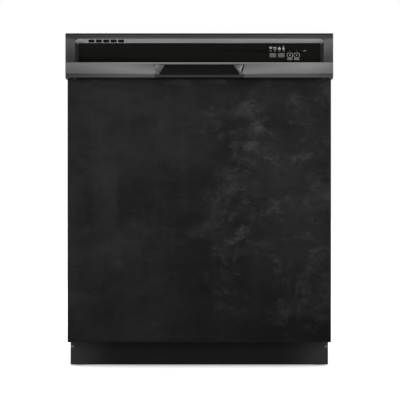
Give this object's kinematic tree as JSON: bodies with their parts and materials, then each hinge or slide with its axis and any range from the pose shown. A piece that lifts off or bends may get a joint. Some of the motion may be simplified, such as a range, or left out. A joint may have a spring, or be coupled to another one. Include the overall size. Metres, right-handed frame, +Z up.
{
  "type": "built-in dishwasher",
  "caption": "Front-control built-in dishwasher with a drop-down door, pocket handle, racks, spray arms, levelling legs and a recessed toe panel.",
  "frame": {"origin": "on the floor below the middle of the machine's bounding box", "axes": "+Z up, the door faces -Y, +X is to the right of someone facing the door"},
  "size_m": [0.606, 0.62, 0.759],
  "materials": {
    "console_steel": "dark brushed stainless",
    "door_sheet": "mottled slate-coloured door sheet",
    "door_case": "dark painted steel",
    "toe_paint": "satin black painted steel",
    "display_gloss": "gloss black",
    "key_grey": "light grey",
    "pocket_black": "satin black",
    "tub_steel": "bright stainless",
    "zinc_steel": "zinc plated",
    "heater_steel": "dull nickel alloy",
    "works_black": "moulded black",
    "works_grey": "moulded grey",
    "works_white": "moulded white",
    "rack_coating": "nylon-coated wire",
    "seal_rubber": "black seal rubber",
    "blanket_felt": "dark bitumen-backed felt"
  },
  "bodies": {
    "cabinet": {"tub": "tub_steel", "door_gasket": "seal_rubber", "insulation_blanket": "blanket_felt", "left_side_rail": "zinc_steel", "right_side_rail": "zinc_steel", "rear_cross_member": "zinc_steel", "toe_panel": "toe_paint", "left_counter_bracket": "zinc_steel", "right_counter_bracket": "zinc_steel", "sump": "works_black", "wash_motor": "zinc_steel", "drain_pump": "works_black", "heating_element": "heater_steel", "spray_feed_tube": "works_grey", "inlet_valve": "works_white", "latch_strike": "tub_steel", "left_door_spring": "zinc_steel", "right_door_spring": "zinc_steel"},
    "door": {"door_outer_panel": "door_case", "door_cover_sheet": "door_sheet", "door_inner_liner": "tub_steel", "handle_band": "console_steel", "handle_pocket": "pocket_black", "console_frame": "console_steel", "control_panel": "display_gloss", "left_hinge_arm": "zinc_steel", "right_hinge_arm": "zinc_steel", "dispenser_body": "works_grey"},
    "upper_rack": {"upper_rack": "rack_coating", "left_rack_rail": "tub_steel", "right_rack_rail": "tub_steel", "upper_manifold": "works_grey"},
    "lower_rack": {"lower_rack": "rack_coating", "cutlery_basket": "works_grey"},
    "left_front_leg": {"left_front_leg": "zinc_steel"},
    "left_rear_leg": {"left_rear_leg": "zinc_steel"},
    "right_front_leg": {"right_front_leg": "zinc_steel"},
    "right_rear_leg": {"right_rear_leg": "zinc_steel"},
    "left_front_roller": {"left_front_roller": "works_white"},
    "left_rear_roller": {"left_rear_roller": "works_white"},
    "right_front_roller": {"right_front_roller": "works_white"},
    "right_rear_roller": {"right_rear_roller": "works_white"},
    "left_front_wheel": {"left_front_wheel": "works_grey"},
    "left_rear_wheel": {"left_rear_wheel": "works_grey"},
    "right_front_wheel": {"right_front_wheel": "works_grey"},
    "right_rear_wheel": {"right_rear_wheel": "works_grey"},
    "cycle_button": {"cycle_button": "key_grey"},
    "options_button": {"options_button": "key_grey"},
    "start_button": {"start_button": "display_gloss"},
    "cancel_button": {"cancel_button": "display_gloss"},
    "wash_impeller": {"wash_impeller": "works_white"},
    "filter_cup": {"filter_cup": "works_grey"},
    "overfill_float": {"overfill_float": "works_grey"},
    "lower_spray_arm": {"lower_spray_arm": "works_grey"},
    "upper_spray_arm": {"upper_spray_arm": "works_grey"},
    "left_spring_cord": {"left_spring_cord": "works_black"},
    "right_spring_cord": {"right_spring_cord": "works_black"},
    "latch_hook": {"latch_hook": "tub_steel"},
    "dispenser_cover": {"dispenser_cover": "works_white"},
    "rinse_aid_cap": {"rinse_aid_cap": "works_grey"}
  },
  "joints": [
    {"name": "door_hinge", "type": "hinge", "parent": "cabinet", "child": "door", "pos_m": [0, -0.268, 0.084], "axis": [1, 0, 0], "range_deg": [0, 90], "stiffness_Nm_per_rad": 22, "springref_deg": -5.73},
    {"name": "left_cord_pull", "type": "slide", "parent": "cabinet", "child": "left_spring_cord", "axis": [0, -1, 0], "range_m": [0, 0.063], "deforming": ["left_door_spring"]},
    {"name": "right_cord_pull", "type": "slide", "parent": "cabinet", "child": "right_spring_cord", "axis": [0, -1, 0], "range_m": [0, 0.063], "deforming": ["right_door_spring"]},
    {"name": "left_front_leg_screw", "type": "slide", "parent": "cabinet", "child": "left_front_leg", "axis": [0, 0, -1], "range_m": [0, 0.06]},
    {"name": "left_rear_leg_screw", "type": "slide", "parent": "cabinet", "child": "left_rear_leg", "axis": [0, 0, -1], "range_m": [0, 0.06]},
    {"name": "right_front_leg_screw", "type": "slide", "parent": "cabinet", "child": "right_front_leg", "axis": [0, 0, -1], "range_m": [0, 0.06]},
    {"name": "right_rear_leg_screw", "type": "slide", "parent": "cabinet", "child": "right_rear_leg", "axis": [0, 0, -1], "range_m": [0, 0.06]},
    {"name": "upper_rack_slide", "type": "slide", "parent": "cabinet", "child": "upper_rack", "axis": [0, -1, 0], "range_m": [0, 0.018]},
    {"name": "left_front_roller_spin", "type": "hinge", "parent": "cabinet", "child": "left_front_roller", "pos_m": [-0.2705, -0.19, 0.494], "axis": [1, 0, 0], "range_deg": [0, 105]},
    {"name": "left_rear_roller_spin", "type": "hinge", "parent": "cabinet", "child": "left_rear_roller", "pos_m": [-0.2705, 0.02, 0.494], "axis": [1, 0, 0], "range_deg": [0, 105]},
    {"name": "right_front_roller_spin", "type": "hinge", "parent": "cabinet", "child": "right_front_roller", "pos_m": [0.2705, -0.19, 0.494], "axis": [1, 0, 0], "range_deg": [0, 105]},
    {"name": "right_rear_roller_spin", "type": "hinge", "parent": "cabinet", "child": "right_rear_roller", "pos_m": [0.2705, 0.02, 0.494], "axis": [1, 0, 0], "range_deg": [0, 105]},
    {"name": "upper_arm_spin", "type": "hinge", "parent": "upper_rack", "child": "upper_spray_arm", "pos_m": [0, 0.0265, 0.415], "axis": [0, 0, 1], "continuous": true},
    {"name": "lower_rack_slide", "type": "slide", "parent": "cabinet", "child": "lower_rack", "axis": [0, -1, 0], "range_m": [0, 0.018]},
    {"name": "left_front_wheel_spin", "type": "hinge", "parent": "lower_rack", "child": "left_front_wheel", "pos_m": [-0.259, -0.172, 0.1393], "axis": [1, 0, 0], "range_deg": [0, 62]},
    {"name": "left_rear_wheel_spin", "type": "hinge", "parent": "lower_rack", "child": "left_rear_wheel", "pos_m": [-0.259, 0.212, 0.1393], "axis": [1, 0, 0], "range_deg": [0, 62]},
    {"name": "right_front_wheel_spin", "type": "hinge", "parent": "lower_rack", "child": "right_front_wheel", "pos_m": [0.259, -0.172, 0.1393], "axis": [1, 0, 0], "range_deg": [0, 62]},
    {"name": "right_rear_wheel_spin", "type": "hinge", "parent": "lower_rack", "child": "right_rear_wheel", "pos_m": [0.259, 0.212, 0.1393], "axis": [1, 0, 0], "range_deg": [0, 62]},
    {"name": "lower_arm_spin", "type": "hinge", "parent": "cabinet", "child": "lower_spray_arm", "pos_m": [0, 0.0265, 0.14], "axis": [0, 0, 1], "continuous": true},
    {"name": "impeller_spin", "type": "hinge", "parent": "cabinet", "child": "wash_impeller", "pos_m": [0.094, 0.0265, 0.072], "axis": [1, 0, 0], "continuous": true},
    {"name": "filter_turn", "type": "hinge", "parent": "cabinet", "child": "filter_cup", "pos_m": [0, -0.0155, 0.09], "axis": [0, 0, 1], "range_deg": [0, 90]},
    {"name": "float_lift", "type": "slide", "parent": "cabinet", "child": "overfill_float", "axis": [0, 0, 1], "range_m": [0, 0.012]},
    {"name": "cycle_button_press", "type": "slide", "parent": "door", "child": "cycle_button", "axis": [0, 1, 0], "range_m": [0, 0.0015], "stiffness_N_per_m": 600},
    {"name": "options_button_press", "type": "slide", "parent": "door", "child": "options_button", "axis": [0, 1, 0], "range_m": [0, 0.0015], "stiffness_N_per_m": 600},
    {"name": "start_button_press", "type": "slide", "parent": "door", "child": "start_button", "axis": [0, 1, 0], "range_m": [0, 0.0015], "stiffness_N_per_m": 600},
    {"name": "cancel_button_press", "type": "slide", "parent": "door", "child": "cancel_button", "axis": [0, 1, 0], "range_m": [0, 0.0015], "stiffness_N_per_m": 600},
    {"name": "dispenser_cover_slide", "type": "slide", "parent": "door", "child": "dispenser_cover", "axis": [0, 0, -1], "range_m": [0, 0.07]},
    {"name": "rinse_cap_turn", "type": "hinge", "parent": "door", "child": "rinse_aid_cap", "pos_m": [0.04, -0.252, 0.41], "axis": [0, 1, 0], "range_deg": [0, 90]},
    {"name": "latch_pivot", "type": "hinge", "parent": "door", "child": "latch_hook", "pos_m": [0, -0.28, 0.747], "axis": [1, 0, 0], "range_deg": [-10, 0], "stiffness_Nm_per_rad": 0.4, "springref_deg": 14.32}
  ],
  "couplings": [
    {"joint": "left_cord_pull", "follows": "door_hinge", "m_per_rad": 0.04},
    {"joint": "right_cord_pull", "follows": "door_hinge", "m_per_rad": 0.04},
    {"joint": "left_front_roller_spin", "follows": "upper_rack_slide", "rad_per_m": 100},
    {"joint": "left_rear_roller_spin", "follows": "upper_rack_slide", "rad_per_m": 100},
    {"joint": "right_front_roller_spin", "follows": "upper_rack_slide", "rad_per_m": 100},
    {"joint": "right_rear_roller_spin", "follows": "upper_rack_slide", "rad_per_m": 100},
    {"joint": "left_front_wheel_spin", "follows": "lower_rack_slide", "rad_per_m": 58.824},
    {"joint": "left_rear_wheel_spin", "follows": "lower_rack_slide", "rad_per_m": 58.824},
    {"joint": "right_front_wheel_spin", "follows": "lower_rack_slide", "rad_per_m": 58.824},
    {"joint": "right_rear_wheel_spin", "follows": "lower_rack_slide", "rad_per_m": 58.824}
  ]
}
